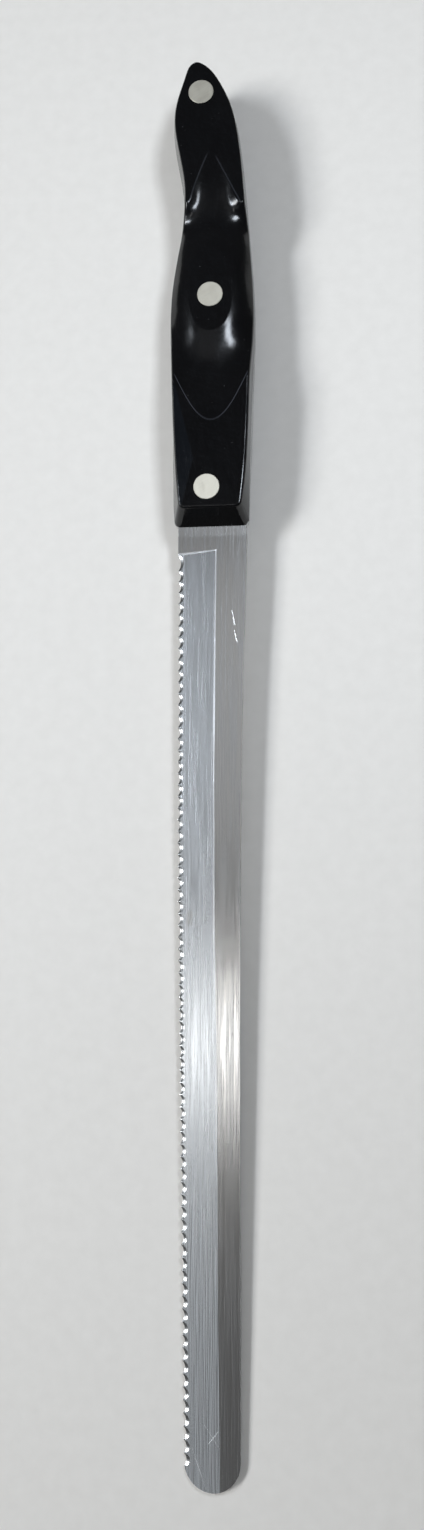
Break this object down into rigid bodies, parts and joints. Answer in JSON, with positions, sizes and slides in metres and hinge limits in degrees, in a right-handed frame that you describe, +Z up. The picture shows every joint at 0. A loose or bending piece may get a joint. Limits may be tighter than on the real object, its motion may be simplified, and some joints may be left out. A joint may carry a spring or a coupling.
{
  "type": "carving knife",
  "caption": "Long serrated carving knife with a round tip, a full tang and sculpted black handle scales held by flush metal rivets.",
  "frame": {"origin": "middle of the knife's bounding box in plan, on the table that it lies on", "axes": "+Z up from the table, +Y along the knife towards the butt of the handle, -X towards the cutting edge"},
  "size_m": [0.0238, 0.384, 0.0209],
  "materials": {
    "blade_steel": "lengthwise brushed stainless steel, lightly scratched",
    "black_resin": "polished black resin with fine scuffs",
    "rivet_metal": "nickel silver, ground flush and buffed"
  },
  "bodies": {
    "root": {"blade": "blade_steel", "scale_upper": "black_resin", "scale_lower": "black_resin", "rivet_front_male": "rivet_metal", "rivet_front_female": "rivet_metal", "rivet_middle_male": "rivet_metal", "rivet_middle_female": "rivet_metal", "rivet_butt_male": "rivet_metal", "rivet_butt_female": "rivet_metal"}
  },
  "joints": []
}
